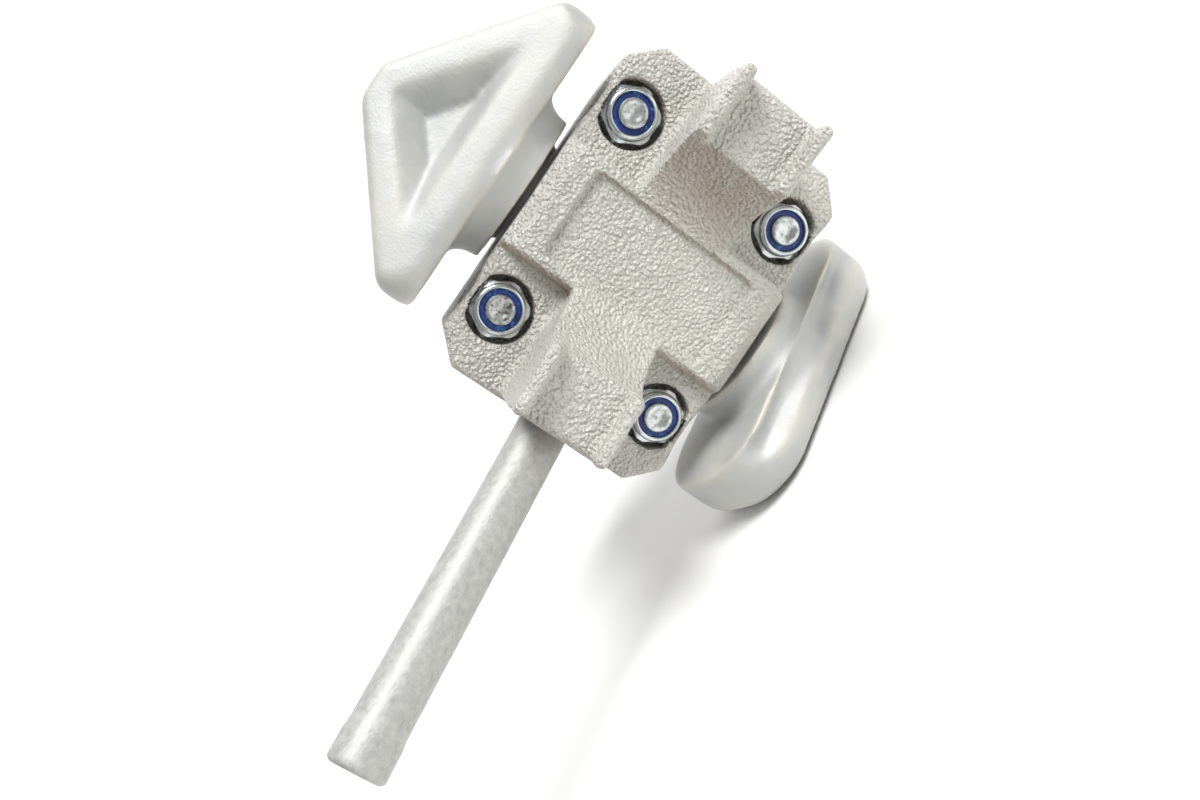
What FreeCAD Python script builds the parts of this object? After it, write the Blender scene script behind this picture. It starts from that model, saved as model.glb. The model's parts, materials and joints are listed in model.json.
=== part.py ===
"""Container twistlock with a hand lever, for stacking freight containers.

Two cast housing halves are bolted together round one forged spindle. The
spindle carries a pointed upper head and a flat lower head, and a round lever
that sweeps between the flange lugs turns them in the corner castings.

Frame: origin on the spindle axis at the middle of the flange. +Z runs along
the spindle to the upper head, +X along the housing, and the nuts face -Y.
All lengths are in millimetres and all angles in degrees.
"""
import FreeCAD, Part

import math
import os

from FreeCAD import Vector

# Housing casting, each half measured outwards from the split plane
housing_half_length = 57.5
housing_half_height = 41.0
corner_chamfer = 9.0
land_depth = 21.5
casting_round = 2.0
corner_slope_start = 13.0
corner_slope_drop = 4.5

# Raised label block across the middle of each half
label_face_depth = 29.0
label_half_width = 19.0
label_bevel = 4.5
label_round = 2.5
recess_half_width = 14.3
recess_half_height = 29.0
recess_depth = 1.8
recess_corner = 2.5

# Flange lugs that rest on the corner castings
flange_half_height = 15.5
saddle_foot_x = 15.5
saddle_sag = 3.2
crest_x = 34.0
crest_depth = 49.5
lug_end_x = 56.0
lug_end_depth = 51.0
lug_end_round = 3.0
lug_side_round = 3.0
rib_thickness = 4.2
rib_start_depth = 54.0
rib_tip_depth = 58.0
rib_lean = 1.5
rib_round = 1.6

# Spindle
running_clearance = 0.10
axial_clearance = 0.30
shaft_radius = 17.0
boss_radius = 23.0
boss_half_height = 13.0
boss_gap = 1.0
neck_gap = 2.0
neck_radius = 25.5
neck_rim = 3.0
neck_flare = 4.5
neck_height = 8.5
neck_start = housing_half_height + neck_gap
bearing_plane = neck_start + neck_height

# Upper head, a pointed cone with a pocket in each broad face
head_half_length = 50.5
head_half_width = 28.0
head_edge_height = 11.0
head_band_height = 6.0
head_height = 46.0
head_top_half_length = 6.0
head_top_half_width = 9.0
head_plan_round = 10.0
head_point_round = 6.0
head_edge_round = 3.0
pocket_depth = 6.0
pocket_rim = 9.0
pocket_base_rim = 13.5
pocket_floor_scale = 0.45
pocket_floor_step = 1.2

# Lower head, flat below with a ridged upper side
low_half_length = 52.0
low_half_width = 26.0
low_edge_height = 18.5
low_height = 22.0
low_bevel = 7.0
low_plan_round = 17.0
low_end_round = 7.0
low_edge_round = 1.2
foot_relief = 0.15
hollow_radius = 13.0
hollow_depth = 4.0
hollow_drop = 8.0
hollow_start = 26.0
hollow_end = 42.0

# Lever
lever_radius = 8.0
lever_length = 169.0
lever_tail = 4.0
lever_swell = 0.45
lever_swell_length = 12.0
lever_end_chamfer = 1.5
lever_slot_clearance = 0.8
lever_stop_clearance = 0.35
lever_front_angle = 27.0
lever_rear_angle = 30.0
lever_middle_angle = 0.0
lever_pin_radius = 3.0
lever_pin_offset = 13.0

# Detent: a sprung plunger in the spindle boss, opposite the lever
plunger_radius = 4.0
plunger_length = 8.7
plunger_ride = 0.10
plunger_travel = 1.4
detent_depth = 0.3
plunger_bore_floor = 8.0
spring_radius = 2.9
spring_wire = 0.5
spring_turns = 5
spring_clearance = 0.10

# Bolts, M10, with hexagon lock nuts
bolt_spacing_x = 70.0
bolt_edge_distance = 11.5
bolt_spacing_z = 2 * (housing_half_height - bolt_edge_distance)
bolt_radius = 5.0
bolt_hole_radius = 5.5
bolt_seat_depth = 13.0
bolt_head_height = 6.4
bolt_tip = 0.8
bolt_tip_dimple = 0.9
across_flats = 17.0
nut_height = 10.0
nut_hex_height = 7.2
nut_collar_radius = 7.6
nut_insert_radius = 6.6
nut_rim_height = 0.9
nut_rim_wall = 0.4
ring_height = 2.2
thread_clearance = 0.02
pocket_radius = 11.3
pocket_flat_clearance = 0.3

# Dowel pins that line up the halves
dowel_radius = 4.0
dowel_half_length = 8.0
dowel_x = 49.5
dowel_z = 21.0

X_AXIS = Vector(1, 0, 0)
Y_AXIS = Vector(0, 1, 0)
Z_AXIS = Vector(0, 0, 1)
ORIGIN = Vector(0, 0, 0)


def prism(points, direction):
    """Solid prism from a closed outline swept along a vector."""
    outline = Part.makePolygon(points + [points[0]])
    return Part.Face(outline).extrude(direction)


def wire_prism(edges, direction):
    """Solid prism from joined edges swept along a vector."""
    return Part.Face(Part.Wire(Part.__sortEdges__(edges))).extrude(direction)


def line(start, end):
    return Part.LineSegment(start, end).toShape()


def arc(start, middle, end):
    return Part.Arc(start, middle, end).toShape()


def rounded_box(half_x, half_z, radius, y_low, y_high):
    """Block standing along Y, with its four edges rounded."""
    block = Part.makeBox(2 * half_x, y_high - y_low, 2 * half_z, Vector(-half_x, y_low, -half_z))
    edges = [edge for edge in block.Edges if along(edge, Y_AXIS)]
    return block.makeFillet(radius, edges)


def along(edge, axis):
    """True for a straight edge that is parallel to the axis."""
    if not isinstance(edge.Curve, (Part.Line, Part.LineSegment)):
        return False
    run = edge.Vertexes[-1].Point - edge.Vertexes[0].Point
    return run.Length > 1e-6 and run.normalize().cross(axis).Length < 1e-6


def turned(shape, angle):
    """The shape turned about the spindle axis."""
    copy = shape.copy()
    copy.rotate(ORIGIN, Z_AXIS, angle)
    return copy


def fused(shapes):
    return shapes[0].multiFuse(shapes[1:]).removeSplitter()


def bolt_places():
    """Bolt axes as (x, z), one for each corner of the housing."""
    return [(sx * bolt_spacing_x / 2, sz * bolt_spacing_z / 2) for sz in (1, -1) for sx in (-1, 1)]


# ---------------------------------------------------------------- housing

def collar_block():
    """Chamfered block that sits in the openings of both corner castings."""
    length = housing_half_length
    height = housing_half_height
    cut = corner_chamfer
    corners = [(length, height - cut), (length - cut, height), (cut - length, height),
               (-length, height - cut), (-length, cut - height), (cut - length, -height),
               (length - cut, -height), (length, cut - height)]
    block = prism([Vector(x, 0, z) for x, z in corners], Y_AXIS * land_depth)
    rims = [edge for edge in block.Edges if edge.CenterOfMass.y > land_depth - 0.1]
    return block.makeFillet(casting_round, rims)


def label_block():
    """Raised middle block, bevelled towards both spindle ends and rounded at its rim."""
    height = housing_half_height
    face = label_face_depth
    bevel = label_bevel
    outline = [(-height, 0), (height, 0), (height, face - bevel), (height - bevel, face),
               (bevel - height, face), (-height, face - bevel)]
    points = [Vector(-label_half_width, y, z) for z, y in outline]
    block = prism(points, X_AXIS * 2 * label_half_width)
    rims = [edge for edge in block.Edges if edge.CenterOfMass.y > face - bevel]
    return block.makeFillet(label_round, rims)


def lug(side):
    """Flange lug: a saddle rising from the label block to a thick end."""
    z = -flange_half_height
    foot = Vector(side * saddle_foot_x, label_face_depth, z)
    crest = Vector(side * crest_x, crest_depth, z)
    chord = crest - foot
    sag = Vector(chord.y, -chord.x, 0).normalize() * saddle_sag * side
    middle = (foot + crest) * 0.5 + sag
    shoulder = Vector(side * (lug_end_x - lug_end_round), lug_end_depth, z)
    end_top = Vector(side * lug_end_x, lug_end_depth - lug_end_round, z)
    bend = lug_end_round * (1 - math.sqrt(0.5))
    corner = Vector(side * (lug_end_x - bend), lug_end_depth - bend, z)
    end_root = Vector(side * lug_end_x, 0, z)
    root = Vector(side * saddle_foot_x, 0, z)
    edges = [arc(foot, middle, crest), line(crest, shoulder), arc(shoulder, corner, end_top),
             line(end_top, end_root), line(end_root, root), line(root, foot)]
    return wire_prism(edges, Z_AXIS * 2 * flange_half_height)


def rib(side, level):
    """Thin plate that stands proud of a lug along one face of the flange."""
    z = flange_half_height - rib_thickness
    inner = crest_x - rib_lean
    outline = [(crest_x, land_depth), (inner, crest_depth), (crest_x, rib_start_depth),
               (lug_end_x - rib_lean, rib_tip_depth), (lug_end_x, rib_tip_depth - rib_lean),
               (lug_end_x, land_depth)]
    plate = prism([Vector(side * x, y, z) for x, y in outline], Z_AXIS * rib_thickness)
    tops = [edge for edge in plate.Edges if edge.CenterOfMass.y > (crest_depth + land_depth) / 2]
    tops = [edge for edge in tops if not along(edge, Z_AXIS)]
    plate = plate.makeFillet(rib_round, tops)
    if level < 0:
        plate = plate.mirror(ORIGIN, Z_AXIS)
    return plate


def side_fillet(side, level):
    """Rounded root between one face of the flange and the land."""
    z = flange_half_height
    reach = lug_side_round
    start = Vector(0, land_depth, z + reach)
    end = Vector(0, land_depth + reach, z)
    bend = reach * (1 - math.sqrt(0.5))
    middle = Vector(0, land_depth + bend, z + bend)
    edges = [arc(start, middle, end), line(end, Vector(0, land_depth + reach, z - 1)),
             line(Vector(0, land_depth + reach, z - 1), Vector(0, land_depth - 1, z - 1)),
             line(Vector(0, land_depth - 1, z - 1), Vector(0, land_depth - 1, z + reach)),
             line(Vector(0, land_depth - 1, z + reach), start)]
    root = wire_prism(edges, X_AXIS * (lug_end_x - label_half_width + 2))
    root.translate(X_AXIS * (label_half_width - 2))
    if side < 0:
        root = root.mirror(ORIGIN, X_AXIS)
    if level < 0:
        root = root.mirror(ORIGIN, Z_AXIS)
    return root


def bolt_pocket(x, z):
    """Round pocket for a nut or bolt head, with a flat that keeps it from turning."""
    depth = rib_tip_depth - bolt_seat_depth + 1
    bowl = Part.makeCylinder(pocket_radius, depth, Vector(x, bolt_seat_depth, z), Y_AXIS)
    flat = abs(z) + across_flats / 2 + pocket_flat_clearance
    limit = Part.makeBox(2 * pocket_radius, depth, 2 * flat, Vector(x - pocket_radius, bolt_seat_depth, -flat))
    hole = Part.makeCylinder(bolt_hole_radius, bolt_seat_depth + 2, Vector(x, -1, z), Y_AXIS)
    return bowl.common(limit).fuse(hole)


def corner_slope(side, level):
    """Wedge that slopes one corner of the land away, beyond its bolt."""
    inner_x = housing_half_length - corner_slope_start
    inner_z = housing_half_height - corner_slope_start
    outer = corner_slope_start + 2
    drop = corner_slope_drop * outer / corner_slope_start
    ridge_a = Vector(inner_x, land_depth, housing_half_height + 2)
    ridge_b = Vector(housing_half_length + 2, land_depth, inner_z)
    low = Vector(housing_half_length + 2, land_depth - drop, housing_half_height + 2)
    top = [ridge_a + Y_AXIS * 5, ridge_b + Y_AXIS * 5, low + Y_AXIS * (drop + 5)]
    faces = [Part.Face(Part.makePolygon(points + [points[0]])) for points in (
        [ridge_a, ridge_b, low], top, [ridge_a, ridge_b, top[1], top[0]], [ridge_b, low, top[2], top[1]],
        [low, ridge_a, top[0], top[2]])]
    wedge = Part.makeSolid(Part.makeShell(faces))
    if side < 0:
        wedge = wedge.mirror(ORIGIN, X_AXIS)
    if level < 0:
        wedge = wedge.mirror(ORIGIN, Z_AXIS)
    return wedge


def lever_slot(angle):
    """Fan between the flange faces that the lever sweeps through in one half."""
    reach = lever_length
    edge = lever_radius + lever_stop_clearance
    half = lever_radius + lever_slot_clearance
    bend = math.radians(angle)
    out = Vector(-math.cos(bend), math.sin(bend), 0)
    off = Vector(math.sin(bend), math.cos(bend), 0)
    down = Z_AXIS * half
    outline = [Vector(0, -1, 0) - down, Vector(-reach, -1, 0) - down, out * reach + off * edge - down,
               off * edge - down]
    return prism(outline, Z_AXIS * 2 * half)


def detent_cuts(mirrored):
    """Dimples in the boss cavity, one for each place the lever stays in."""
    radius = plunger_radius + detent_depth
    centre = boss_radius + boss_gap - plunger_ride - plunger_radius + plunger_travel
    cuts = []
    for angle in (lever_front_angle, lever_middle_angle, -lever_rear_angle):
        bend = math.radians(angle)
        place = Vector(math.cos(bend), math.sin(bend) * mirrored, 0) * centre
        cuts.append(Part.makeSphere(radius, place))
    return cuts


def half_casting(lever_angle, mirrored):
    """One housing half, standing on the split plane towards +Y."""
    solids = [collar_block(), label_block()]
    for side in (-1, 1):
        solids.append(lug(side))
        for level in (-1, 1):
            solids.append(rib(side, level))
            solids.append(side_fillet(side, level))
    casting = fused(solids)

    bore = Part.makeCylinder(shaft_radius + running_clearance, 2 * housing_half_height + 2,
                             Vector(0, 0, -housing_half_height - 1), Z_AXIS)
    cavity_height = boss_half_height + axial_clearance
    cavity = Part.makeCylinder(boss_radius + boss_gap, 2 * cavity_height,
                               Vector(0, 0, -cavity_height), Z_AXIS)
    cuts = [bore, cavity, lever_slot(lever_angle)]
    cuts += detent_cuts(mirrored)
    cuts += [bolt_pocket(x, z) for x, z in bolt_places()]
    cuts += [corner_slope(side, level) for side in (-1, 1) for level in (-1, 1)]
    for sign in (-1, 1):
        cuts.append(Part.makeCylinder(dowel_radius, dowel_half_length + 1,
                                      Vector(sign * dowel_x, -1, -sign * dowel_z), Y_AXIS))
    return casting.cut(cuts).removeSplitter()


def front_housing():
    """Half with the nuts and the label recess, facing -Y."""
    casting = half_casting(lever_front_angle, -1)
    recess = rounded_box(recess_half_width, recess_half_height, recess_corner,
                         label_face_depth - recess_depth, label_face_depth + 1)
    return casting.cut(recess).mirror(ORIGIN, Y_AXIS)


def rear_housing():
    """Half with the bolt heads, facing +Y."""
    return half_casting(lever_rear_angle, 1)


# ---------------------------------------------------------------- spindle

def neck(level):
    """Disc between the housing and a head, flared towards the head."""
    low = neck_start
    rim = low + neck_rim
    wide = neck_radius + neck_flare
    bend = neck_flare * 0.3
    edges = [line(Vector(0, 0, low), Vector(neck_radius, 0, low)),
             line(Vector(neck_radius, 0, low), Vector(neck_radius, 0, rim)),
             arc(Vector(neck_radius, 0, rim), Vector(neck_radius + bend, 0, (rim + bearing_plane) / 2 + bend / 2),
                 Vector(wide, 0, bearing_plane + 1)),
             line(Vector(wide, 0, bearing_plane + 1), Vector(0, 0, bearing_plane + 1)),
             line(Vector(0, 0, bearing_plane + 1), Vector(0, 0, low))]
    disc = Part.Face(Part.Wire(edges)).revolve(ORIGIN, Z_AXIS, 360)
    if level < 0:
        disc = disc.mirror(ORIGIN, Z_AXIS)
    return disc


def plan_block(half_length, half_width, radius, low, high):
    """Upright block with rounded corners, seen from above."""
    block = Part.makeBox(2 * half_length, 2 * half_width, high - low,
                         Vector(-half_length, -half_width, low))
    uprights = [edge for edge in block.Edges if along(edge, Z_AXIS)]
    return block.makeFillet(radius, uprights)


def broad_face_point(x, z, face, depth):
    """Point below one broad face of the upper head, found by its height."""
    start = bearing_plane + head_band_height
    lean = math.atan2(head_half_width - head_top_half_width, head_height - head_band_height)
    surface = head_half_width - (z - start) * math.tan(lean)
    return Vector(x, face * (surface - depth * math.cos(lean)), z - depth * math.sin(lean))


def pocket_outline(face, scale, depth):
    """Three-cornered outline that keeps an even rim along the head's slopes."""
    rise = head_height - head_edge_height
    run = head_half_length - head_top_half_length
    slope = math.atan2(rise, run)
    base = bearing_plane + pocket_base_rim
    top = bearing_plane + head_height + (head_top_half_length * math.sin(slope) - pocket_rim) / math.cos(slope)
    half_base = (top - base) / math.tan(slope)
    middle = base + (top - base) * 0.45
    corners = [(-half_base, base), (half_base, base), (0, top), (-half_base, base)]
    return Part.makePolygon([broad_face_point(x * scale, middle + (z - middle) * scale, face, depth)
                             for x, z in corners])


def head_pocket(face):
    """Tapered pocket in one broad face, with a deeper rough floor."""
    taper = Part.makeLoft([pocket_outline(face, 1.0, 0), pocket_outline(face, pocket_floor_scale, pocket_depth)],
                          True, True)
    mouth = Part.makeLoft([pocket_outline(face, 1.0, -3), pocket_outline(face, 1.0, 0)], True, True)
    floor = Part.makeLoft([pocket_outline(face, pocket_floor_scale, pocket_depth - 1),
                           pocket_outline(face, pocket_floor_scale, pocket_depth + pocket_floor_step)],
                          True, True)
    return fused([mouth, taper, floor])


def upper_head():
    """Pointed head, drafted on its broad faces and rounded all over."""
    low = bearing_plane
    shoulder = low + head_edge_height
    top = low + head_height
    side = [(-head_half_length, low), (head_half_length, low), (head_half_length, shoulder),
            (head_top_half_length, top), (-head_top_half_length, top), (-head_half_length, shoulder)]
    broad = prism([Vector(x, -head_half_width, z) for x, z in side], Y_AXIS * 2 * head_half_width)
    creases = [edge for edge in broad.Edges if along(edge, Y_AXIS) and edge.CenterOfMass.z > low + 1]
    broad = broad.makeFillet(head_point_round, creases)
    band = low + head_band_height
    end = [(-head_half_width, low), (head_half_width, low), (head_half_width, band),
           (head_top_half_width, top), (-head_top_half_width, top), (-head_half_width, band)]
    narrow = prism([Vector(-head_half_length, y, z) for y, z in end], X_AXIS * 2 * head_half_length)
    plan = plan_block(head_half_length, head_half_width, head_plan_round, low, top)
    head = broad.common(narrow).common(plan).removeSplitter()
    rims = [edge for edge in head.Edges if edge.CenterOfMass.z < low + 0.1]
    head = head.makeFillet(head_edge_round, rims)
    return head.cut([head_pocket(-1), head_pocket(1)])


def side_hollow(end, face):
    """Long forged hollow in a broad side of the lower head, round at both ends."""
    y = face * (low_half_width - hollow_depth + hollow_radius)
    z = -bearing_plane - hollow_drop
    near = Vector(end * hollow_start, y, z)
    far = Vector(end * hollow_end, y, z)
    run = Part.makeCylinder(hollow_radius, hollow_end - hollow_start, near, X_AXIS * end)
    return fused([run, Part.makeSphere(hollow_radius, near), Part.makeSphere(hollow_radius, far)])


def bevel_relief(across, half_span, half_run):
    """Large cylinder that bows one foot bevel inwards, so the head stands on its four corners."""
    rise = low_height - low_edge_height
    radius = (half_run ** 2 + foot_relief ** 2) / (2 * foot_relief)
    slope = (across * low_bevel + Z_AXIS * rise).normalize()
    outward = (across * rise - Z_AXIS * low_bevel).normalize()
    middle = across * (half_span - low_bevel / 2) - Z_AXIS * (bearing_plane + low_height - rise / 2)
    centre = middle + outward * (radius - foot_relief)
    return Part.makeCylinder(radius, 2 * low_bevel, centre - slope * low_bevel, slope)


def lower_head():
    """Flat head with a ridge along its upper side, turned to lie with the lever."""
    top = -bearing_plane
    knee = top - low_edge_height
    foot = top - low_height
    end = [(-low_half_width, top), (low_half_width, top), (low_half_width, knee),
           (low_half_width - low_bevel, foot), (low_bevel - low_half_width, foot), (-low_half_width, knee)]
    bar = prism([Vector(-low_half_length, y, z) for y, z in end], X_AXIS * 2 * low_half_length)
    side = [(-low_half_length, top), (low_half_length, top), (low_half_length, knee),
            (low_half_length - low_bevel, foot), (low_bevel - low_half_length, foot), (-low_half_length, knee)]
    broad = prism([Vector(x, -low_half_width, z) for x, z in side], Y_AXIS * 2 * low_half_width)
    ends = [edge for edge in broad.Edges if along(edge, Y_AXIS) and abs(edge.CenterOfMass.z - knee) < 1]
    broad = broad.makeFillet(low_end_round, ends)
    plan = plan_block(low_half_length, low_half_width, low_plan_round, foot, top)
    head = bar.common(broad).common(plan).removeSplitter()
    rims = [edge for edge in head.Edges if edge.CenterOfMass.z > top - 0.1]
    head = head.makeFillet(low_edge_round, rims)
    cuts = [side_hollow(end, face) for end in (-1, 1) for face in (-1, 1)]
    for sign in (-1, 1):
        cuts.append(bevel_relief(Y_AXIS * sign, low_half_width, low_half_length - low_bevel))
        cuts.append(bevel_relief(X_AXIS * sign, low_half_length, low_half_width - low_bevel))
    return turned(head.cut(cuts), lever_front_angle)


def lever_bar(radius, tail):
    """Round bar along the lever's rest direction, from its inner end."""
    bar = Part.makeCylinder(radius, lever_length + tail, Vector(tail, 0, 0), -X_AXIS)
    return turned(bar, lever_front_angle)


def lever_pin_bar():
    """Upright pin through the boss and the lever."""
    length = 2 * boss_half_height - 1
    pin = Part.makeCylinder(lever_pin_radius, length, Vector(-lever_pin_offset, 0, -length / 2), Z_AXIS)
    return turned(pin, lever_front_angle)


def spindle():
    """One forging: both heads, their necks, the shaft and the lever boss."""
    shaft = Part.makeCylinder(shaft_radius, 2 * neck_start + 2, Vector(0, 0, -neck_start - 1), Z_AXIS)
    boss = Part.makeCylinder(boss_radius, 2 * boss_half_height, Vector(0, 0, -boss_half_height), Z_AXIS)
    body = fused([shaft, boss, neck(1), neck(-1), upper_head(), lower_head()])
    reach = boss_radius + boss_gap
    plunger_bore = Part.makeCylinder(plunger_radius + running_clearance, reach - plunger_bore_floor,
                                     Vector(plunger_bore_floor, 0, 0), X_AXIS)
    cuts = [lever_bar(lever_radius, lever_tail), lever_pin_bar(), turned(plunger_bore, lever_front_angle)]
    return body.cut(cuts)


def lever():
    """Round lever with a slightly upset end, drilled for its pin."""
    straight = lever_length - lever_swell_length
    wide = lever_radius + lever_swell
    nose = lever_end_chamfer
    outline = [(-lever_tail, 0), (-lever_tail, lever_radius), (straight, lever_radius),
               (straight + 2, wide), (lever_length - nose, wide), (lever_length, wide - nose),
               (lever_length, 0)]
    points = [Vector(-x, r, 0) for x, r in outline]
    face = Part.Face(Part.makePolygon(points + [points[0]]))
    bar = turned(face.revolve(ORIGIN, X_AXIS, 360), lever_front_angle)
    return bar.cut(lever_pin_bar())


def plunger():
    """Round-nosed plunger that drops into the detent dimples."""
    tip = boss_radius + boss_gap - plunger_ride
    centre = tip - plunger_radius
    stem_start = tip - plunger_length
    stem = Part.makeCylinder(plunger_radius, centre - stem_start, Vector(stem_start, 0, 0), X_AXIS)
    nose = Part.makeSphere(plunger_radius, Vector(centre, 0, 0))
    return turned(fused([stem, nose]), lever_front_angle)


def detent_spring():
    """Compression spring behind the plunger, with its wire drawn six-sided."""
    start = plunger_bore_floor + spring_wire + spring_clearance
    end = boss_radius + boss_gap - plunger_ride - plunger_length - spring_wire - spring_clearance
    pitch = (end - start) / spring_turns
    helix = Part.makeHelix(pitch, end - start, spring_radius)
    corners = [math.radians(60 * step) for step in range(7)]
    section = Part.makePolygon([Vector(spring_radius + spring_wire * math.cos(turn), 0, spring_wire * math.sin(turn))
                                for turn in corners])
    coil = helix.makePipeShell([section], True, True)
    coil.rotate(ORIGIN, Y_AXIS, 90)
    coil.translate(X_AXIS * start)
    return turned(coil, lever_front_angle)


# ---------------------------------------------------------------- fasteners

def hexagon(flats, height, place):
    """Hexagonal prism along +Y with two flats towards the spindle ends."""
    radius = flats / math.sqrt(3)
    points = []
    for step in range(6):
        angle = math.radians(60 * step)
        points.append(place + Vector(radius * math.cos(angle), 0, radius * math.sin(angle)))
    return prism(points, Y_AXIS * height)


def corner_cone(flats, height, place, direction):
    """Cone that takes the sharp corners off one end of a hexagon."""
    radius = flats / math.sqrt(3)
    blunt = flats / 2 * 0.97
    drop = (radius - blunt) * math.tan(math.radians(30))
    start = place + direction * height
    cap = Part.makeCone(blunt, radius, drop, start, -direction)
    rest = Part.makeCylinder(radius, height - drop, place, direction)
    return cap.fuse(rest)


def bolt(x, z):
    """Hexagon bolt from the rear half to its nut at the front."""
    head_place = Vector(x, bolt_seat_depth, z)
    head = hexagon(across_flats, bolt_head_height, head_place)
    head = head.common(corner_cone(across_flats, bolt_head_height, head_place, Y_AXIS))
    tip = -bolt_seat_depth - nut_height - bolt_tip
    shank = Part.makeCylinder(bolt_radius, bolt_seat_depth - tip, Vector(x, tip, z), Y_AXIS)
    rim = [edge for edge in shank.Edges if edge.CenterOfMass.y < tip + 0.1 and not along(edge, Y_AXIS)]
    shank = shank.makeChamfer(0.8, rim)
    dimple = Part.makeCone(bolt_radius * 0.5, 0.5, bolt_tip_dimple, Vector(x, tip, z), Y_AXIS)
    return head.fuse(shank).removeSplitter().cut(dimple)


def nut(x, z):
    """Hexagon lock nut with a crimped collar over its insert."""
    base = Vector(x, -bolt_seat_depth, z)
    body = hexagon(across_flats, nut_hex_height, base - Y_AXIS * nut_hex_height)
    body = body.common(corner_cone(across_flats, nut_hex_height, base, -Y_AXIS))
    collar = Part.makeCylinder(nut_collar_radius, nut_height - nut_rim_height, base, -Y_AXIS)
    crimp = Part.makeCone(nut_collar_radius, nut_insert_radius + nut_rim_wall, nut_rim_height,
                          base - Y_AXIS * (nut_height - nut_rim_height), -Y_AXIS)
    thread = Part.makeCylinder(bolt_radius + thread_clearance, nut_height + 1, base, -Y_AXIS)
    seat = Part.makeCylinder(nut_insert_radius, ring_height + nut_rim_height,
                             base - Y_AXIS * (nut_height - ring_height - nut_rim_height), -Y_AXIS)
    return fused([body, collar, crimp]).cut([thread, seat])


def nut_ring(x, z):
    """Nylon locking insert inside the nut's collar."""
    start = Vector(x, -bolt_seat_depth - nut_height + ring_height + nut_rim_height, z)
    ring = Part.makeCylinder(nut_insert_radius, ring_height, start, -Y_AXIS)
    return ring.cut(Part.makeCylinder(bolt_radius + thread_clearance, ring_height, start, -Y_AXIS))


def dowel(sign):
    """Dowel pin across the split plane."""
    return Part.makeCylinder(dowel_radius, 2 * dowel_half_length,
                             Vector(sign * dowel_x, -dowel_half_length, -sign * dowel_z), Y_AXIS)


def make_parts():
    """Every piece by its node name."""
    parts = {
        "front_housing": front_housing(),
        "rear_housing": rear_housing(),
        "spindle": spindle(),
        "lever": lever(),
        "lever_pin": lever_pin_bar(),
        "detent_plunger": plunger(),
        "detent_spring": detent_spring(),
        "dowel_pin_1": dowel(1),
        "dowel_pin_2": dowel(-1),
    }
    for number, (x, z) in enumerate(bolt_places(), 1):
        parts["bolt_%d" % number] = bolt(x, z)
        parts["lock_nut_%d" % number] = nut(x, z)
        parts["nut_insert_%d" % number] = nut_ring(x, z)
    return parts


def main():
    os.makedirs("parts", exist_ok=True)
    for name, shape in make_parts().items():
        solids = shape.Solids
        if len(solids) == 1:
            shape = solids[0]
        print("%-16s solids %d valid %s volume %.0f" % (name, len(solids), shape.isValid(), shape.Volume))
        shape.exportStep("parts/%s.step" % name)


if __name__ == "__main__":
    main()
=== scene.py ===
"""Dresses the container twistlock: cast, forged and plated surfaces, fasteners, light and camera.

Sizes in this file are in millimetres until mm() turns them to metres. The frame's +Z runs along the
spindle to the pointed cone, +X along the housing, and the nuts face -Y.
"""
import json
import math

import bmesh
import bpy
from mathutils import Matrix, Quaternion, Vector, noise


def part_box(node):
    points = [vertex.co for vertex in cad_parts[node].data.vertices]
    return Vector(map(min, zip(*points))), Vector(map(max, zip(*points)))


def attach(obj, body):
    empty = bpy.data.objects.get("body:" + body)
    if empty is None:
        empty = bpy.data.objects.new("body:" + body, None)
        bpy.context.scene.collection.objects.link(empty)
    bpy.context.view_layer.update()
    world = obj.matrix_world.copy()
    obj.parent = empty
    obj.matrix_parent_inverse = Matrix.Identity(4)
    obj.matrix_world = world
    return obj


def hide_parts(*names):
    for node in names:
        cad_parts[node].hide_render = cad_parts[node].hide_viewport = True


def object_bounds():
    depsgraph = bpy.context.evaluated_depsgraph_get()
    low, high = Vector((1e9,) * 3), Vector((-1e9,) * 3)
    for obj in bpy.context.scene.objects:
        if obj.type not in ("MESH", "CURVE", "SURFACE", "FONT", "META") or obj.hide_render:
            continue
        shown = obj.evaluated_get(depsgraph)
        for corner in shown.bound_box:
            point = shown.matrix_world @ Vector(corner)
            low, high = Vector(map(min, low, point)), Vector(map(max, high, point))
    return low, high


bl_info = {
    "name": "Container twistlock",
    "version": (1, 0, 0),
    "blender": (4, 5, 0),
    "location": "3D View > Sidebar > Twistlock",
    "description": "Builds the surfaces, fasteners, light and camera round the twistlock's solid parts",
    "category": "Object",
}

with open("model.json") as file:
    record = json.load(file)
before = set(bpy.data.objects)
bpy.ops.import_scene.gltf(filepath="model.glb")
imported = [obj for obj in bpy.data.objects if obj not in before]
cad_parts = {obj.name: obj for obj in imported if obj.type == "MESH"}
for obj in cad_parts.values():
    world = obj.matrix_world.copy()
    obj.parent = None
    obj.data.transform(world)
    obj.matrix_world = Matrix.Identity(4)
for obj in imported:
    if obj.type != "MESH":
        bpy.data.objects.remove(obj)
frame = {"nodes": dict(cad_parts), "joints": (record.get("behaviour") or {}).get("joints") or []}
cad_low, cad_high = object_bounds()


def mm(value):
    """Millimetres to metres."""
    return value * 0.001


def linear(code):
    """An sRGB hex colour as linear red, green, blue and alpha."""
    parts = [int(code[i:i + 2], 16) / 255 for i in (1, 3, 5)]
    return tuple(p / 12.92 if p <= 0.04045 else ((p + 0.055) / 1.055) ** 2.4 for p in parts) + (1.0,)


def per_size(size):
    """Scale of a noise pattern whose features are this many millimetres wide."""
    return 1000.0 / size


# ---------------------------------------------------------------- settings

def colour(name, description, code):
    """A colour setting with an sRGB hex default."""
    return bpy.props.FloatVectorProperty(name=name, description=description, default=linear(code), size=4,
                                         min=0.0, max=1.0, subtype="COLOR")


def length(name, description, default):
    """A length setting with its default in millimetres."""
    return bpy.props.FloatProperty(name=name, description=description, default=mm(default), min=0.0,
                                   precision=5, unit="LENGTH", subtype="DISTANCE")


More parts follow.
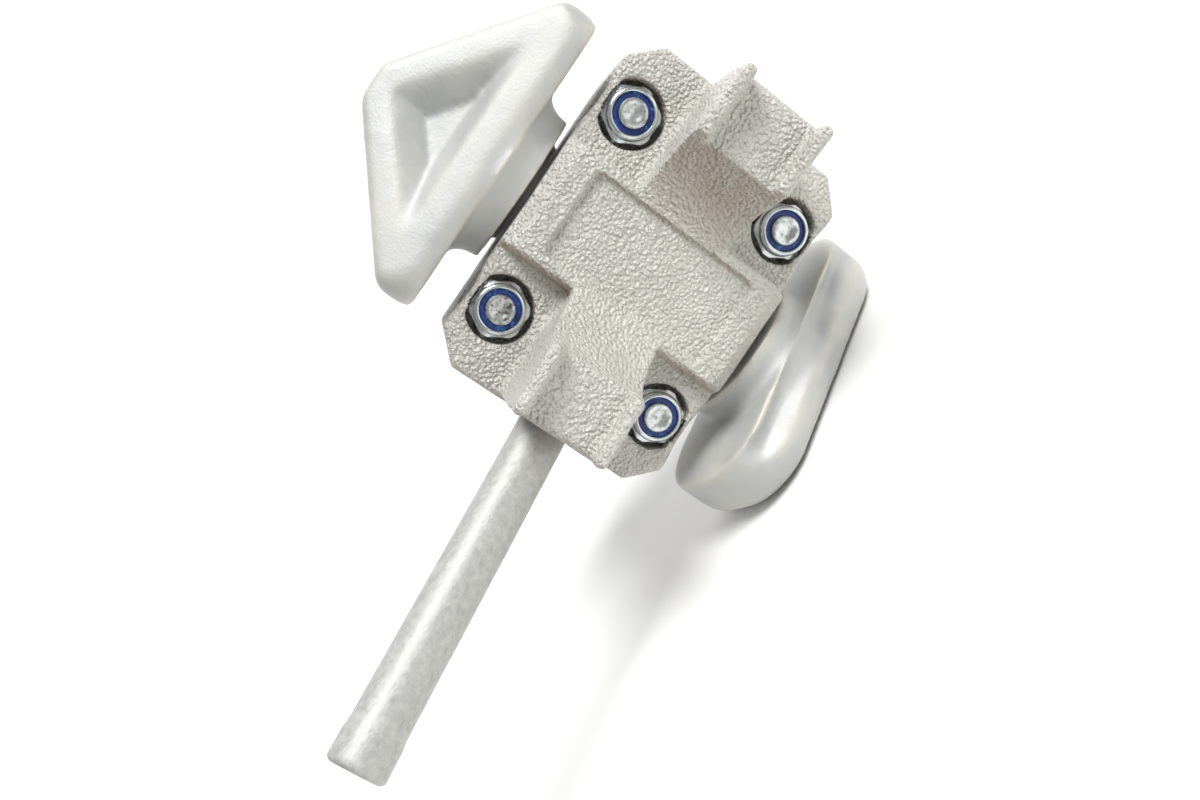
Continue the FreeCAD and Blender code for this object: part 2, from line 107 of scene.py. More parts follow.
class TwistlockCastings(bpy.types.PropertyGroup):
    """Sizes and colours of the two sand-cast halves."""
    zinc: colour("Zinc", "Main colour of the galvanised casting", "#DAD8D1")
    # Hollows: painted shade in the pits of the grain, and also random darker patches across the casting
    hollow: colour("Hollows", "Colour of the zinc between the grains", "#B4B0A8")
    # Painted shade with a warm cast, laid on the slopes that face the lever
    painted_shade: colour("Tint", "Warm film on the slopes that face the lever", "#BCAB9F")
    voxel: length("Detail", "Edge length of the casting's mesh", 0.7)
    grain: length("Grain", "Width of the sand grain left in the surface", 0.85)
    relief: length("Relief", "Height of the sand grain", 0.8)
    bore_room: length("Bore room", "Distance that the bore's surface stays back from the shaft", 0.5)


class TwistlockSpindle(bpy.types.PropertyGroup):
    """Sizes and colours of the forged spindle."""
    zinc: colour("Zinc", "Main colour of the galvanised forging", "#CBCBC7")
    cream: colour("Cream", "Older, thicker zinc on the rims", "#D8D4C6")
    dull: colour("Dull", "Duller patches of zinc", "#B9BBBB")
    voxel: length("Detail", "Edge length of the forging's mesh", 1.0)


class TwistlockLever(bpy.types.PropertyGroup):
    """Sizes and colours of the hand lever."""
    zinc: colour("Zinc", "Main colour of the galvanised bar", "#AFAFAC")
    fleck: colour("Flecks", "Paler flecks in the zinc", "#C6C6C2")
    scuff: colour("Scuffs", "Darker scuffs along the bar", "#868886")
    stain: colour("Stain", "Small rust-brown spots", "#7A6654")
    wave: length("Wave", "Height of the dents along the bar", 0.12)


class TwistlockFasteners(bpy.types.PropertyGroup):
    """Colours of the bolts, nuts and locking rings."""
    plate: colour("Plate", "Bright zinc plate on nuts and bolts", "#DADEDD")
    passive: colour("Passivation", "Faint blue of the passivated zinc", "#B4C3CC")
    scuff: colour("Scuffs", "Scuffs on the nuts", "#8D9190")
    rubbed: colour("Rubbed", "Zinc rubbed dull by the nut's thread", "#7F8582")
    nylon: colour("Nylon", "Blue of the locking rings", "#0C2E78")
    smear: colour("Smear", "Paler nylon scraped up by the thread", "#3B83C9")
    stain: colour("Stain", "Reddish stain on one bolt end", "#6B4A52")


class TwistlockStage(bpy.types.PropertyGroup):
    """Floor, light and camera."""
    floor: colour("Floor", "Pale floor", "#F4F4F2")
    room: bpy.props.FloatProperty(name="Room", description="Brightness of the room in front of the object",
                                  default=0.28, min=0.0, max=1.0, subtype="FACTOR")
    key: bpy.props.FloatProperty(name="Key", description="Strength of the main light", default=3.2, min=0.0)
    rear: bpy.props.FloatProperty(name="Rear", description="Strength of the light from behind", default=0.6,
                                  min=0.0)
    camera_place: bpy.props.FloatVectorProperty(
        name="Camera place", description="Where the camera stands",
        default=(mm(-36.4), mm(-292.2), mm(52.4)), size=3, unit="LENGTH", subtype="TRANSLATION")
    camera_aim: bpy.props.FloatVectorProperty(
        name="Camera aim", description="Point at the middle of the picture",
        default=(mm(-40.65), mm(-20.0), mm(-11.63)), size=3, unit="LENGTH", subtype="TRANSLATION")
    camera_roll: bpy.props.FloatProperty(
        name="Camera roll", description="Turn of the camera about its own line of sight",
        default=math.radians(-55.98), subtype="ANGLE", unit="ROTATION")
    focal_length: bpy.props.FloatProperty(
        name="Focal length", description="Lens focal length", default=27.09, min=1.0, unit="CAMERA")


# ---------------------------------------------------------------- materials

def add_node(tree, kind, inputs=None, **settings):
    """Adds one shader node with its settings; an input is a value or a socket to link from."""
    made = tree.nodes.new(kind)
    for name, value in settings.items():
        setattr(made, name, value)
    for key, value in (inputs or {}).items():
        socket = made.inputs[key]
        if isinstance(value, bpy.types.NodeSocket):
            tree.links.new(value, socket)
        else:
            socket.default_value = value
    return made


def new_material(name):
    """An empty node material with its surface shader, linked to the output."""
    material = bpy.data.materials.new(name)
    material.use_nodes = True
    tree = material.node_tree
    tree.nodes.clear()
    shader = add_node(tree, "ShaderNodeBsdfPrincipled")
    output = add_node(tree, "ShaderNodeOutputMaterial")
    tree.links.new(shader.outputs["BSDF"], output.inputs["Surface"])
    return material, tree, shader


def ramp(tree, factor, stops):
    """A colour ramp from (position, colour) stops; grey stops may be single numbers."""
    made = add_node(tree, "ShaderNodeValToRGB", {"Fac": factor})
    elements = made.color_ramp.elements
    while len(elements) < len(stops):
        elements.new(0.5)
    for element, (place, value) in zip(elements, stops):
        element.position = place
        element.color = (value, value, value, 1) if isinstance(value, (int, float)) else value
    return made.outputs["Color"]


def mixed(tree, factor, first, second):
    """First colour where the factor is 0, second where it is 1."""
    return add_node(tree, "ShaderNodeMix", {0: factor, 6: first, 7: second}, data_type="RGBA").outputs[2]


def maths(tree, operation, first, second):
    """One arithmetic step between two values or sockets."""
    return add_node(tree, "ShaderNodeMath", {0: first, 1: second}, operation=operation).outputs[0]


def cloudy(tree, point, scale, detail=2.0, roughness=0.5, distortion=0.0):
    """Grey noise, 0 to 1, at a point."""
    inputs = {"Vector": point, "Scale": scale, "Detail": detail, "Roughness": roughness,
              "Distortion": distortion}
    return add_node(tree, "ShaderNodeTexNoise", inputs).outputs["Fac"]


def object_point(tree):
    """The place of each surface point in its piece's own frame."""
    return add_node(tree, "ShaderNodeTexCoord").outputs["Object"]


def finish_surface(tree, shader, base, height, strength, depth, roughness, metallic):
    """Links colour, bump and roughness to the surface shader; roughness is a value or a socket."""
    bump = add_node(tree, "ShaderNodeBump", {"Strength": strength, "Distance": depth, "Height": height})
    tree.links.new(base, shader.inputs["Base Color"])
    tree.links.new(bump.outputs["Normal"], shader.inputs["Normal"])
    if isinstance(roughness, bpy.types.NodeSocket):
        tree.links.new(roughness, shader.inputs["Roughness"])
    else:
        shader.inputs["Roughness"].default_value = roughness
    shader.inputs["Metallic"].default_value = metallic


def cast_zinc():
    """Hot-dip galvanised ductile iron, sand cast.

    The mould's grain shows through the zinc as a dense field of low bumps, with painted shade in their pits.
    The zinc is pale and mostly diffuse, with small bright glints, and painted shade with a warm cast lies on
    the slopes that face the lever.
    """
    s = bpy.context.scene.twistlock_castings
    material, tree, shader = new_material("galvanised_sand_casting")
    place = add_node(tree, "ShaderNodeTexCoord")
    point = place.outputs["Object"]
    stir = add_node(tree, "ShaderNodeTexNoise", {"Vector": point, "Scale": per_size(4.0), "Detail": 1.0})
    drift = add_node(tree, "ShaderNodeVectorMath", {0: stir.outputs["Color"], 3: mm(0.6)}, operation="SCALE")
    moved = add_node(tree, "ShaderNodeVectorMath", {0: point, 1: drift.outputs[0]}, operation="ADD")
    moved = moved.outputs[0]
    grain = cloudy(tree, moved, 1.0 / s.grain, 2.5)
    pebble = add_node(tree, "ShaderNodeTexVoronoi",
                      {"Vector": moved, "Scale": 0.75 / s.grain, "Smoothness": 0.6},
                      feature="SMOOTH_F1").outputs["Distance"]
    cloud = cloudy(tree, point, per_size(14.0), 3.0, 0.6)
    # Painted shade: slopes whose normals face -X, towards the lever, take the warm shade colour in
    # cloud-broken patches
    facing = add_node(tree, "ShaderNodeSeparateXYZ", {"Vector": place.outputs["Normal"]}).outputs["X"]
    lever_side_shade = ramp(tree, maths(tree, "MULTIPLY", facing, -1.0), [(0.25, 0.0), (0.75, 1.0)])
    painted_shade_mask = maths(tree, "MULTIPLY", lever_side_shade, ramp(tree, cloud, [(0.35, 0.25), (0.65, 0.9)]))
    height = maths(tree, "ADD", grain, maths(tree, "MULTIPLY", pebble, -1.3))
    # Painted shade: the low points of the grain's height pattern are darkened towards the hollows colour
    base = mixed(tree, ramp(tree, height, [(0.0, 0.3), (0.22, 0.0)]), s.zinc, s.hollow)
    base = mixed(tree, painted_shade_mask, base, s.painted_shade)
    # Random darker patches in the hollows colour, from large cloud noise
    base = mixed(tree, ramp(tree, cloud, [(0.30, 0.30), (0.62, 0.0)]), base, s.hollow)
    roughness = ramp(tree, grain, [(0.3, 0.64), (0.7, 0.46)])
    finish_surface(tree, shader, base, height, 1.0, s.relief, roughness, 0.3)
    return material


def forged_zinc():
    """Hot-dip galvanised forging: smooth flowing zinc, faintly grained, brighter and creamier on the rims."""
    s = bpy.context.scene.twistlock_spindle
    material, tree, shader = new_material("galvanised_forging")
    point = object_point(tree)
    grain = cloudy(tree, point, per_size(0.9), 4.0, 0.6)
    cloud = cloudy(tree, point, per_size(16.0), 4.0, 0.55)
    edge = add_node(tree, "ShaderNodeNewGeometry").outputs["Pointiness"]
    base = mixed(tree, ramp(tree, cloud, [(0.35, 0.0), (0.7, 1.0)]), s.zinc, s.dull)
    base = mixed(tree, ramp(tree, edge, [(0.50, 0.0), (0.56, 1.0)]), base, s.cream)
    roughness = ramp(tree, cloud, [(0.3, 0.68), (0.7, 0.54)])
    finish_surface(tree, shader, base, grain, 0.35, mm(0.35), roughness, 0.4)
    return material


def lever_zinc():
    """Galvanised round bar: thin even zinc, scuffed along its length, with flecks and a few brown spots."""
    s = bpy.context.scene.twistlock_lever
    material, tree, shader = new_material("galvanised_bar")
    point = object_point(tree)
    along = lever_direction()
    stretched = add_node(tree, "ShaderNodeMapping",
                         {"Vector": point, "Rotation": (0, 0, -math.atan2(along.y, along.x)),
                          "Scale": (0.15, 1.0, 1.0)}, vector_type="POINT").outputs[0]
    streak = cloudy(tree, stretched, per_size(1.4), 4.0, 0.65)
    fleck = cloudy(tree, point, per_size(2.2), 5.0, 0.7)
    spot = cloudy(tree, point, per_size(6.0), 5.0, 0.75)
    base = mixed(tree, ramp(tree, fleck, [(0.40, 0.0), (0.70, 1.0)]), s.zinc, s.fleck)
    base = mixed(tree, ramp(tree, streak, [(0.30, 0.35), (0.45, 0.0)]), base, s.scuff)
    base = mixed(tree, ramp(tree, spot, [(0.67, 0.0), (0.72, 0.8)]), base, s.stain)
    height = maths(tree, "ADD", streak, fleck)
    roughness = ramp(tree, fleck, [(0.3, 0.50), (0.7, 0.64)])
    finish_surface(tree, shader, base, height, 0.4, mm(0.3), roughness, 0.5)
    return material


def zinc_plate():
    """Bright electroplated zinc on machined steel: a clean mirror-like metal with faint blue passivation."""
    s = bpy.context.scene.twistlock_fasteners
    material, tree, shader = new_material("bright_zinc_plate")
    point = object_point(tree)
    cloud = cloudy(tree, point, per_size(3.5), 4.0, 0.6)
    scuff = cloudy(tree, point, per_size(0.7), 4.0, 0.7)
    base = mixed(tree, ramp(tree, cloud, [(0.42, 0.0), (0.66, 0.5)]), s.plate, s.passive)
    base = mixed(tree, ramp(tree, scuff, [(0.30, 0.5), (0.42, 0.0)]), base, s.scuff)
    roughness = ramp(tree, scuff, [(0.3, 0.30), (0.7, 0.18)])
    finish_surface(tree, shader, base, scuff, 0.25, mm(0.15), roughness, 1.0)
    return material


def bolt_end_zinc(name, stain_amount):
    """Zinc plate on a rolled bolt's end, scuffed by the nut's thread, with a dull stain in places."""
    s = bpy.context.scene.twistlock_fasteners
    material, tree, shader = new_material(name)
    mottle = cloudy(tree, object_point(tree), per_size(1.8), 5.0, 0.7)
    base = mixed(tree, ramp(tree, mottle, [(0.38, 0.7), (0.52, 0.0)]), s.plate, s.rubbed)
    base = mixed(tree, ramp(tree, mottle, [(0.50, 0.0), (0.60, stain_amount)]), base, s.stain)
    roughness = ramp(tree, mottle, [(0.3, 0.45), (0.7, 0.22)])
    finish_surface(tree, shader, base, mottle, 0.4, mm(0.2), roughness, 1.0)
    return material


def blue_nylon():
    """Moulded nylon 6: deep blue, slightly waxy, with paler smears where the thread has cut it."""
    s = bpy.context.scene.twistlock_fasteners
    material, tree, shader = new_material("moulded_blue_nylon")
    smear = cloudy(tree, object_point(tree), per_size(2.6), 4.0, 0.65, 1.2)
    base = mixed(tree, ramp(tree, smear, [(0.56, 0.0), (0.66, 1.0)]), s.nylon, s.smear)
    finish_surface(tree, shader, base, smear, 0.4, mm(0.2), 0.38, 0.0)
    shader.inputs["IOR"].default_value = 1.53
    return material


def hardened_steel():
    """Ground and hardened steel: grey metal with a fine ground grain."""
    material, tree, shader = new_material("ground_hardened_steel")
    lines = cloudy(tree, object_point(tree), per_size(0.5), 3.0)
    base = mixed(tree, ramp(tree, lines, [(0.35, 0.0), (0.65, 1.0)]), linear("#8B8D90"),
                 linear("#A6A8AA"))
    finish_surface(tree, shader, base, lines, 0.2, mm(0.05), 0.32, 1.0)
    return material


def pale_floor():
    """Matt painted board with a trace of unevenness."""
    s = bpy.context.scene.twistlock_stage
    material, tree, shader = new_material("matt_painted_board")
    cloud = cloudy(tree, object_point(tree), per_size(120.0))
    base = mixed(tree, ramp(tree, cloud, [(0.4, 0.0), (0.6, 0.15)]), s.floor, linear("#EDEDEA"))
    tree.links.new(base, shader.inputs["Base Color"])
    shader.inputs["Roughness"].default_value = 0.9
    return material


# ---------------------------------------------------------------- shapes

def lever_direction():
    """The way the lever points at rest: opposite to the detent plunger's travel."""
    slide = next(joint for joint in frame["joints"] if joint["type"] == "slide")
    return -Vector(slide["axis"]).normalized()


def finished(name, mesh, material, node_names, body):
    """Links a mesh as a smooth-shaded piece that stands for CAD nodes and rides on a body."""
    piece = bpy.data.objects.new(name, mesh)
    bpy.context.scene.collection.objects.link(piece)
    mesh.materials.clear()
    mesh.materials.append(material)
    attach(piece, body)
    if node_names:
        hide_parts(*node_names)
    return piece


def remeshed(node, voxel, rounds):
    """A copy of a CAD solid with an even mesh and softly rounded edges."""
    copy = frame["nodes"][node].copy()
    copy.data = copy.data.copy()
    copy.parent = None
    bpy.context.scene.collection.objects.link(copy)
    even = copy.modifiers.new("even", "REMESH")
    even.mode = "VOXEL"
    even.voxel_size = voxel
    even.adaptivity = 0.0
    soft = copy.modifiers.new("soft", "SMOOTH")
    soft.factor = 0.5
    soft.iterations = rounds
    bpy.context.view_layer.update()
    graph = bpy.context.evaluated_depsgraph_get()
    mesh = bpy.data.meshes.new_from_object(copy.evaluated_get(graph))
    bpy.data.objects.remove(copy)
    for face in mesh.polygons:
        face.use_smooth = True
    return mesh


def soften(mesh, chosen, rounds):
    """Rounds off the part of a mesh that is chosen by a test on each point, in millimetres."""
    builder = bmesh.new()
    builder.from_mesh(mesh)
    verts = [vertex for vertex in builder.verts if chosen(vertex.co * 1000)]
    for _ in range(rounds):
        bmesh.ops.smooth_vert(builder, verts=verts, factor=0.5,
                              use_axis_x=True, use_axis_y=True, use_axis_z=True)
    builder.to_mesh(mesh)
    builder.free()


def upper_rim(point):
    """True on the upper head, except deep in its pockets."""
    underside, taper_start = 52.5, 57.5
    half_width, taper = 28.0, 19.0 / 40.0
    rim_depth, flank_start, flank_slope = 4.2, 34.0, 0.8
    if point.z < underside:
        return False
    face = half_width - max(0.0, point.z - taper_start) * taper
    flank = flank_start - (point.z - taper_start) * flank_slope
    return face - abs(point.y) < rim_depth or abs(point.x) > flank


def roughen(mesh, layers):
    """Moves the surface inwards by layered noise; each layer is (feature size, depth) in millimetres."""
    normals = [vertex.normal.copy() for vertex in mesh.vertices]
    for vertex, normal in zip(mesh.vertices, normals):
        depth = 0.0
        for size, height in layers:
            depth += height * (0.5 + 0.5 * noise.noise(vertex.co * per_size(size)))
        vertex.co -= normal * mm(depth)


def clear_shaft(mesh, radius, half_height):
    """Keeps the casting's surface back from the turning shaft and boss."""
    for vertex in mesh.vertices:
        reach = math.hypot(vertex.co.x, vertex.co.y)
        if 1e-6 < reach < radius and abs(vertex.co.z) > half_height:
            vertex.co.x *= radius / reach
            vertex.co.y *= radius / reach


def from_rectangle(across, up, half_width, half_height, corner):
    """Distance from the outline of a round-cornered rectangle, negative inside it."""
    over_x, over_z = across - half_width + corner, up - half_height + corner
    return math.hypot(max(over_x, 0), max(over_z, 0)) + min(max(over_x, over_z), 0) - corner


def crisp_recess(mesh):
    """Brings the label recess back to straight walls and a flat floor after the mesh was softened."""
    face, depth, half_width, half_height, corner = 29.0, 1.8, 14.3, 29.0, 2.5
    wall_width, skin = 0.8, 0.05
    for vertex in mesh.vertices:
        x, y, z = vertex.co * 1000
        if y > 4.0 - face or abs(x) > half_width + 1.1 or abs(z) > half_height + 4.0:
            continue
        outside = from_rectangle(abs(x), abs(z), half_width, half_height, corner)
        sunk = min(1.0, max(0.0, 0.5 - outside / wall_width))
        vertex.co.y = -mm(face - depth * sunk - skin)


def tighten_pockets(mesh, amount):
    """Draws the front casting in round each nut, as the thick zinc there leaves the wrench little room."""
    inner, outer, fade = mm(9.8), mm(15.5), mm(3.6)
    for number in range(1, 5):
        low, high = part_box("lock_nut_%d" % number)
        centre = (low + high) / 2
        for vertex in mesh.vertices:
            away = Vector((vertex.co.x - centre.x, 0, vertex.co.z - centre.z))
            if vertex.co.y > high.y + mm(0.3) or not inner < away.length < outer:
                continue
            share = min(1.0, (outer - away.length) / fade)
            vertex.co -= away.normalized() * amount * share


def slim_shaft(mesh, radius, half_height):
    """Keeps the turning shaft's surface back from the bore, between the two necks."""
    skin = mm(2.0)
    for vertex in mesh.vertices:
        reach = math.hypot(vertex.co.x, vertex.co.y)
        if abs(vertex.co.z) < half_height and radius < reach < radius + skin:
            vertex.co.x *= radius / reach
            vertex.co.y *= radius / reach


def soft_min(first, second, blend):
    """The smaller of two distances, rounded where they meet."""
    share = max(0.0, 1.0 - abs(first - second) / blend)
    return min(first, second) - share * share * blend / 4


def soft_max(first, second, blend):
    """The larger of two distances, rounded where they meet."""
    return -soft_min(-first, -second, blend)


def settle(mesh, inside, form, rounds=7):
    """Moves the vertices inside a region on to the surface where form(point), in millimetres, is zero."""
    step, flat, longest = 0.05, 0.05, 2.0
    steps = [Vector([step if axis == place else 0 for place in range(3)]) for axis in range(3)]
    for vertex in mesh.vertices:
        point = vertex.co * 1000
        weight = inside(point)
        if weight <= 0:
            continue
        start = point.copy()
        for _ in range(rounds):
            value = form(point)
            slope = Vector([form(point + move) - value for move in steps]) / step
            if slope.length < flat:
                break
            point -= slope * (max(-longest, min(longest, value)) / slope.length_squared)
        vertex.co = start.lerp(point, weight) * 0.001


def ring_surface(builder, centre, axis, side, rings, segments, radius_at, capped=True):
    """Surface of rings along an axis; radius_at(ring number, angle) gives each point's (along, out)."""
    out = axis.cross(side)
    loops = []
    for ring in range(rings):
        loop = []
        for step in range(segments):
            angle = 2 * math.pi * step / segments
            along, reach = radius_at(ring, angle)
            outward = side * math.cos(angle) + out * math.sin(angle)
            loop.append(builder.verts.new(centre + axis * along + outward * reach))
        loops.append(loop)
    for first, second in zip(loops, loops[1:]):
        for step in range(segments):
            following = (step + 1) % segments
            builder.faces.new((first[step], first[following], second[following], second[step]))
    if capped:
        builder.faces.new(list(reversed(loops[0])))
        builder.faces.new(loops[-1])
    return loops


def to_mesh(builder, name, sharp=35.0):
    """Finishes a mesh, smooth except where faces meet sharply."""
    bmesh.ops.recalc_face_normals(builder, faces=builder.faces)
    for face in builder.faces:
        face.smooth = True
    for edge in builder.edges:
        if len(edge.link_faces) == 2 and edge.calc_face_angle() > math.radians(sharp):
            edge.smooth = False
    mesh = bpy.data.meshes.new(name)
    builder.to_mesh(mesh)
    builder.free()
    return mesh


def turned(name, centre, axis, rings, segments, radius_at, sharp, capped=True):
    """A smooth mesh of rings along an axis, measured from +Z."""
    builder = bmesh.new()
    ring_surface(builder, centre, axis, Vector((0, 0, 1)), rings, segments, radius_at, capped)
    return to_mesh(builder, name, sharp)


def box_middle(low, high, y):
    """The middle of a box across X and Z, at a given place along Y."""
    return Vector(((low.x + high.x) / 2, y, (low.z + high.z) / 2))


def hexagon_reach(angle, flats):
    """Distance from a hexagon's middle to its edge, with corners along the side vector."""
    step = math.pi / 3
    turn = (angle % step) - step / 2
    return flats / 2 / math.cos(turn)


class TWISTLOCK_OT_castings(bpy.types.Operator):
    """Build both sand-cast housing halves."""
    bl_idname = "twistlock.castings"
    bl_label = "Housing castings"

    def execute(self, context):
        s = context.scene.twistlock_castings
        material = cast_zinc()
        bore, boss_half_height = mm(17.1), mm(13.5)
        for name, node in (("front_casting", "front_housing"), ("rear_casting", "rear_housing")):
            mesh = remeshed(node, s.voxel * (1.0), 4)
            if node == "front_housing":
                tighten_pockets(mesh, mm(1.0))
                crisp_recess(mesh)
            roughen(mesh, ((7.0, 0.25), (2.6, 0.12)))
            clear_shaft(mesh, bore + s.bore_room, boss_half_height)
            finished(name, mesh, material, [node], "housing")
        return {"FINISHED"}


def lower_head_form(point):
    """Signed distance from the lower head's surface: bearing lip, side valleys, round bar and flat foot."""
    bearing_plane, half_length, half_width, head_height, corner = -51.5, 52.0, 26.0, 22.0, 22.0
    valley_end, valley_fade, valley_top, valley_height, valley_depth = 47.0, 12.0, 0.5, 10.0, 4.6
    neck_radius, neck_height, neck_root = 25.3, 8.5, 12.0
    lip_round, foot_round, neck_round, zinc_skin = 2.5, 11.0, 4.0, 0.3
    way = -lever_direction()
    along = abs(point.x * way.x + point.y * way.y)
    across = abs(point.y * way.x - point.x * way.y)
    drop = bearing_plane - point.z
    plan = from_rectangle(along, across, half_length, half_width, corner)
    # The valley runs along both broad sides and fades out before the round ends.
    ends = min(1.0, max(0.0, (valley_end - along) / valley_fade))
    hollow = math.sin(math.pi * min(1.0, max(0.0, (drop - valley_top) / valley_height))) ** 1.3
    side = plan + zinc_skin + valley_depth * hollow * ends * ends * (3 - 2 * ends)
    head = soft_max(soft_max(side, -drop, lip_round), drop - head_height, foot_round)
    neck = max(math.hypot(point.x, point.y) - neck_radius, drop - neck_root, -drop - neck_height)
    return soft_min(head, neck, neck_round)


class TWISTLOCK_OT_spindle(bpy.types.Operator):
    """Build the forged spindle with both cones."""
    bl_idname = "twistlock.spindle"
    bl_label = "Spindle forging"

    def execute(self, context):
        s = context.scene.twistlock_spindle
        mesh = remeshed("spindle", s.voxel * (1.0), 6)
        settle(mesh, lambda point: min(1.0, max(0.0, (-45.0 - point.z) / 2.0)), lower_head_form)
        soften(mesh, lambda point: point.z < -46, 4)
        soften(mesh, upper_rim, 14)
        roughen(mesh, ((11.0, 0.3), (3.5, 0.1)))
        slim_shaft(mesh, mm(16.8), mm(42.0))
        finished("spindle_forging", mesh, forged_zinc(), ["spindle"], "spindle")
        return {"FINISHED"}


class TWISTLOCK_OT_lever(bpy.types.Operator):
    """Build the round hand lever with its battered end."""
    bl_idname = "twistlock.lever"
    bl_label = "Hand lever"

    def execute(self, context):
        s = context.scene.twistlock_lever
        way = lever_direction()
        points = [vertex.co for vertex in frame["nodes"]["lever"].data.vertices]
        along = [point.dot(way) for point in points]
        start, end = min(along), max(along)
        skin, swell, swell_length, count = mm(0.1), mm(0.4), mm(12.0), 110
        widest = max((point - way * point.dot(way)).length for point in points) - skin
        radius = widest - swell
        stations = [start, start + mm(0.6)]
        stations += [start + mm(1.2) + (end - start - mm(2.4)) * i / count for i in range(count + 1)]
        stations += [end - mm(0.7), end - mm(0.25), end - mm(0.05)]
        swell_start = end - swell_length

        def reach(ring, angle):
            place = stations[ring]
            size = radius
            if place > swell_start:
                size += swell * min(1.0, (place - swell_start) / mm(3.0))
            if ring == 0:
                size -= mm(0.5)
            nearness = max(0.0, 1 - (end - place) / mm(1.3))
            size -= mm(1.5) * nearness ** 2
            spot = Vector((place, math.cos(angle) * radius, math.sin(angle) * radius))
            dent = 0.5 + 0.5 * noise.noise(spot * per_size(16.0))
            small = 0.5 + 0.5 * noise.noise(spot * per_size(4.0) + Vector((5, 0, 0)))
            return place, size - s.wave * (dent + 0.5 * small)

        mesh = turned("lever_bar", Vector((0, 0, 0)), way, len(stations), 56, reach, 50)
        finished("lever_bar", mesh, lever_zinc(), ["lever"], "spindle")
        return {"FINISHED"}


class TWISTLOCK_OT_lock_nuts(bpy.types.Operator):
    """Build the four lock nuts with their crimped collars."""
    bl_idname = "twistlock.lock_nuts"
    bl_label = "Lock nuts"

    def execute(self, context):
        material = zinc_plate()
        cad_height, collar_start, root = 10.0, 7.2, 8.3
        # (height from the seat, radius); None follows the hexagon
        outline = [(0.0, 5.5), (0.0, 8.3), (0.5, None), (5.6, None), (6.9, None), (7.2, 8.25), (7.35, 7.95),
                   (8.3, 7.9), (9.1, 7.8), (9.6, 7.5), (9.9, 7.1), (9.97, 6.75), (9.85, 6.45), (9.5, 6.3),
                   (9.1, 6.3)]
        for number in range(1, 5):
            name = "plated_nut_%d" % number
            low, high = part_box("lock_nut_%d" % number)
            flats = (high.z - low.z) * 1000 - 0.1
            scale = (high.y - low.y) / mm(cad_height)

            def reach(ring, angle):
                along, radius = outline[ring]
                hexagon = hexagon_reach(angle + math.pi / 6, flats)
                if radius is None:
                    upper, lower = 8.6 + (collar_start - along) * 1.6, root + along * 2.6
                    radius = min(hexagon, upper if along > 3 else lower)
                elif along <= collar_start:
                    radius = min(radius, hexagon)
                return mm(along) * scale, mm(radius)

            centre = box_middle(low, high, high.y)
            mesh = turned(name, centre, Vector((0, -1, 0)), len(outline), 96, reach, 32, capped=False)
            finished(name, mesh, material, ["lock_nut_%d" % number], "housing")
        return {"FINISHED"}


class TWISTLOCK_OT_nut_inserts(bpy.types.Operator):
    """Build the blue nylon locking rings."""
    bl_idname = "twistlock.nut_inserts"
    bl_label = "Nylon inserts"

    def execute(self, context):
        material = blue_nylon()
        segments, wobble_start = 72, 5
        for number in range(1, 5):
            name = "nylon_ring_%d" % number
            low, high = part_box("nut_insert_%d" % number)
            outer = (high.x - low.x) / 2 * 1000
            outline = [(0.0, 5.05), (0.0, outer), (1.5, outer), (2.0, outer - 0.1), (2.2, outer - 0.45),
                       (2.2, 5.6), (2.1, 4.9), (2.12, 4.65), (1.6, 4.6)]

            def reach(ring, angle):
                along, radius = outline[ring]
                if ring >= wobble_start:
                    wobble = noise.noise(Vector((math.cos(angle), math.sin(angle), number * 3.0)) * 1.7)
                    radius += 0.12 * wobble
                return mm(along), mm(radius)

            builder = bmesh.new()
            centre = box_middle(low, high, high.y)
            loops = ring_surface(builder, centre, Vector((0, -1, 0)), Vector((0, 0, 1)), len(outline),
                                 segments, reach, capped=False)
            first, last = loops[0], loops[-1]
            for step in range(segments):
                following = (step + 1) % segments
                builder.faces.new((last[step], last[following], first[following], first[step]))
            finished(name, to_mesh(builder, name, 60), material, ["nut_insert_%d" % number], "housing")
        return {"FINISHED"}


class TWISTLOCK_OT_bolts(bpy.types.Operator):
    """Build the four bolts, with their heads at the rear and dimpled ends at the front."""
    bl_idname = "twistlock.bolts"
    bl_label = "Bolts"

    def execute(self, context):
        clean = bolt_end_zinc("zinc_plated_bolt", 0.0)
        stained = bolt_end_zinc("zinc_plated_bolt_stained", 0.85)
        widest = 9.9
        for number in range(1, 5):
            name = "plated_bolt_%d" % number
            low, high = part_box("bolt_%d" % number)
            # The head's seat lies as far behind the split plane as the nut's seat lies in front of it.
            seat = -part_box("lock_nut_%d" % number)[1].y
            flats = (high.z - low.z) * 1000 - 0.1
            head = (high.y - seat) * 1000
            top, tip = high.y * 1000, low.y * 1000
            # (place along Y, radius); None follows the hexagon
            outline = [(top - 0.35, 0.05), (top - 0.35, 5.6), (top - 0.25, 6.1), (top, 6.6), (top, 7.9),
                       (top - 0.4, None), (top - 1.4, None), (top - head + 0.5, None), (top - head, 8.2),
                       (top - head, 5.0), (tip + 2.6, 5.0), (tip + 2.2, 4.55), (tip + 0.5, 4.5),
                       (tip + 0.12, 4.2), (tip, 3.8), (tip + 0.05, 3.0), (tip + 0.5, 2.1), (tip + 0.75, 1.1),
                       (tip + 0.8, 0.05)]

            def reach(ring, angle):
                along, radius = outline[ring]
                hexagon = hexagon_reach(angle + math.pi / 6, flats)
                if radius is None:
                    radius = min(hexagon, 8.2 + (top - along) * 1.9 if along > top - head / 2 else widest)
                elif along > top - head - 0.1:
                    radius = min(radius, hexagon)
                return mm(along), mm(radius)

            mesh = turned(name, box_middle(low, high, 0), Vector((0, 1, 0)), len(outline), 96, reach, 30)
            finished(name, mesh, stained if number == 1 else clean, ["bolt_%d" % number], "housing")
        return {"FINISHED"}


